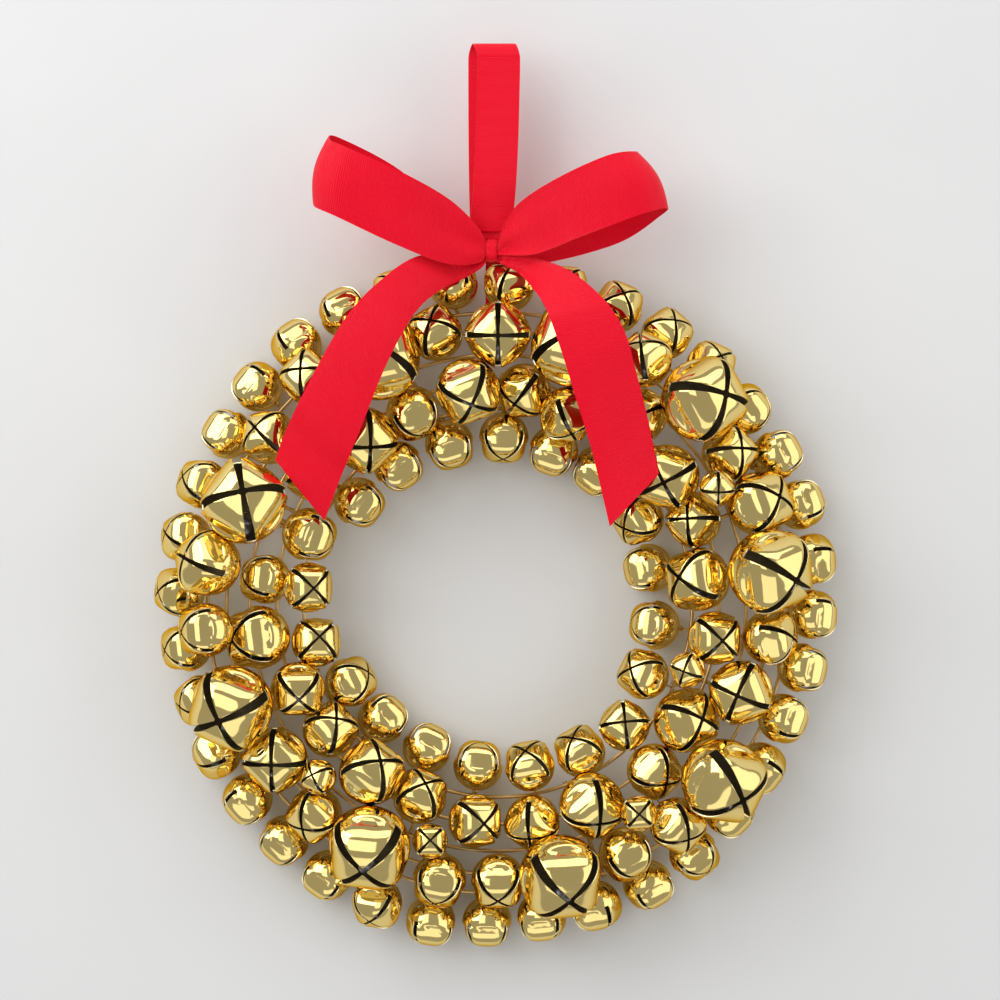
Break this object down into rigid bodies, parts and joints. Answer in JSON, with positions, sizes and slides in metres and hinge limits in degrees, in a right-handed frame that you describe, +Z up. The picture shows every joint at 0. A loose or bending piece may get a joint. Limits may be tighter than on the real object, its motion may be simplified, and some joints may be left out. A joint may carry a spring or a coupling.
{
  "type": "jingle bell wreath",
  "caption": "Round Christmas wreath of gold jingle bells wired on a ring frame, with a tied red ribbon bow and a ribbon hanging loop.",
  "frame": {"origin": "where a hook bears inside the top of the hanging loop", "axes": "+Z up, the wreath's front faces -Y, +X to the right seen from the front"},
  "size_m": [0.3502, 0.0727, 0.4671],
  "materials": {
    "gold_bell": "polished",
    "brass_wire": "satin",
    "steel_pellet": "plain",
    "red_ribbon": "ribbed weave"
  },
  "bodies": {
    "hanging_loop": {"hanging_loop": "red_ribbon"},
    "wreath": {"ring_1": "brass_wire", "ring_2": "brass_wire", "ring_3": "brass_wire", "ring_4": "brass_wire", "ring_5": "brass_wire", "cross_wires": "brass_wire", "tie_wires": "brass_wire", "large_bell_1": "gold_bell", "large_bell_2": "gold_bell", "large_bell_3": "gold_bell", "large_bell_4": "gold_bell", "large_bell_5": "gold_bell", "large_bell_6": "gold_bell", "large_bell_7": "gold_bell", "large_bell_8": "gold_bell", "large_bell_9": "gold_bell", "medium_bells": "gold_bell", "middle_bells": "gold_bell", "outer_bells": "gold_bell", "inner_bells": "gold_bell", "tiny_bells": "gold_bell", "large_shank_1": "brass_wire", "large_shank_2": "brass_wire", "large_shank_3": "brass_wire", "large_shank_4": "brass_wire", "large_shank_5": "brass_wire", "large_shank_6": "brass_wire", "large_shank_7": "brass_wire", "large_shank_8": "brass_wire", "large_shank_9": "brass_wire", "medium_shanks": "brass_wire", "middle_shanks": "brass_wire", "outer_shanks": "brass_wire", "inner_shanks": "brass_wire", "tiny_shanks": "brass_wire", "loop_root": "red_ribbon", "bow_knot": "red_ribbon", "bow_left_loop": "red_ribbon", "bow_right_loop": "red_ribbon"},
    "left_tail": {"left_tail": "red_ribbon"},
    "right_tail": {"right_tail": "red_ribbon"},
    "large_pellet_1": {"large_pellet_1": "steel_pellet"},
    "large_pellet_2": {"large_pellet_2": "steel_pellet"},
    "large_pellet_3": {"large_pellet_3": "steel_pellet"},
    "large_pellet_4": {"large_pellet_4": "steel_pellet"},
    "large_pellet_5": {"large_pellet_5": "steel_pellet"},
    "large_pellet_6": {"large_pellet_6": "steel_pellet"},
    "large_pellet_7": {"large_pellet_7": "steel_pellet"},
    "large_pellet_8": {"large_pellet_8": "steel_pellet"},
    "large_pellet_9": {"large_pellet_9": "steel_pellet"},
    "medium_pellets": {"medium_pellets": "steel_pellet"},
    "middle_pellets": {"middle_pellets": "steel_pellet"},
    "small_pellets": {"outer_pellets": "steel_pellet", "inner_pellets": "steel_pellet"},
    "tiny_pellets": {"tiny_pellets": "steel_pellet"}
  },
  "joints": [
    {"name": "wreath_sway", "type": "hinge", "parent": "hanging_loop", "child": "wreath", "pos_m": [-0.004, 0, -0.097], "axis": [1, 0, 0], "range_deg": [-20, 20]},
    {"name": "left_tail_lift", "type": "hinge", "parent": "wreath", "child": "left_tail", "pos_m": [-0.0062, -0.0045, -0.111], "axis": [-1, 0, 0], "range_deg": [0, 20]},
    {"name": "right_tail_lift", "type": "hinge", "parent": "wreath", "child": "right_tail", "pos_m": [-0.0006, -0.0045, -0.111], "axis": [-1, 0, 0], "range_deg": [0, 20]},
    {"name": "large_pellet_1_rattle", "type": "slide", "parent": "wreath", "child": "large_pellet_1", "axis": [0, 0, 1], "range_m": [0, 0.0235]},
    {"name": "large_pellet_2_rattle", "type": "slide", "parent": "wreath", "child": "large_pellet_2", "axis": [0, 0, 1], "range_m": [0, 0.0235]},
    {"name": "large_pellet_3_rattle", "type": "slide", "parent": "wreath", "child": "large_pellet_3", "axis": [0, 0, 1], "range_m": [0, 0.0235]},
    {"name": "large_pellet_4_rattle", "type": "slide", "parent": "wreath", "child": "large_pellet_4", "axis": [0, 0, 1], "range_m": [0, 0.0235]},
    {"name": "large_pellet_5_rattle", "type": "slide", "parent": "wreath", "child": "large_pellet_5", "axis": [0, 0, 1], "range_m": [0, 0.0235]},
    {"name": "large_pellet_6_rattle", "type": "slide", "parent": "wreath", "child": "large_pellet_6", "axis": [0, 0, 1], "range_m": [0, 0.0235]},
    {"name": "large_pellet_7_rattle", "type": "slide", "parent": "wreath", "child": "large_pellet_7", "axis": [0, 0, 1], "range_m": [0, 0.0235]},
    {"name": "large_pellet_8_rattle", "type": "slide", "parent": "wreath", "child": "large_pellet_8", "axis": [0, 0, 1], "range_m": [0, 0.0235]},
    {"name": "large_pellet_9_rattle", "type": "slide", "parent": "wreath", "child": "large_pellet_9", "axis": [0, 0, 1], "range_m": [0, 0.0235]},
    {"name": "medium_pellets_rattle", "type": "slide", "parent": "wreath", "child": "medium_pellets", "axis": [0, 0, 1], "range_m": [0, 0.0172]},
    {"name": "middle_pellets_rattle", "type": "slide", "parent": "wreath", "child": "middle_pellets", "axis": [0, 0, 1], "range_m": [0, 0.0137]},
    {"name": "small_pellets_rattle", "type": "slide", "parent": "wreath", "child": "small_pellets", "axis": [0, 0, 1], "range_m": [0, 0.0129]},
    {"name": "tiny_pellets_rattle", "type": "slide", "parent": "wreath", "child": "tiny_pellets", "axis": [0, 0, 1], "range_m": [0, 0.0083]}
  ]
}
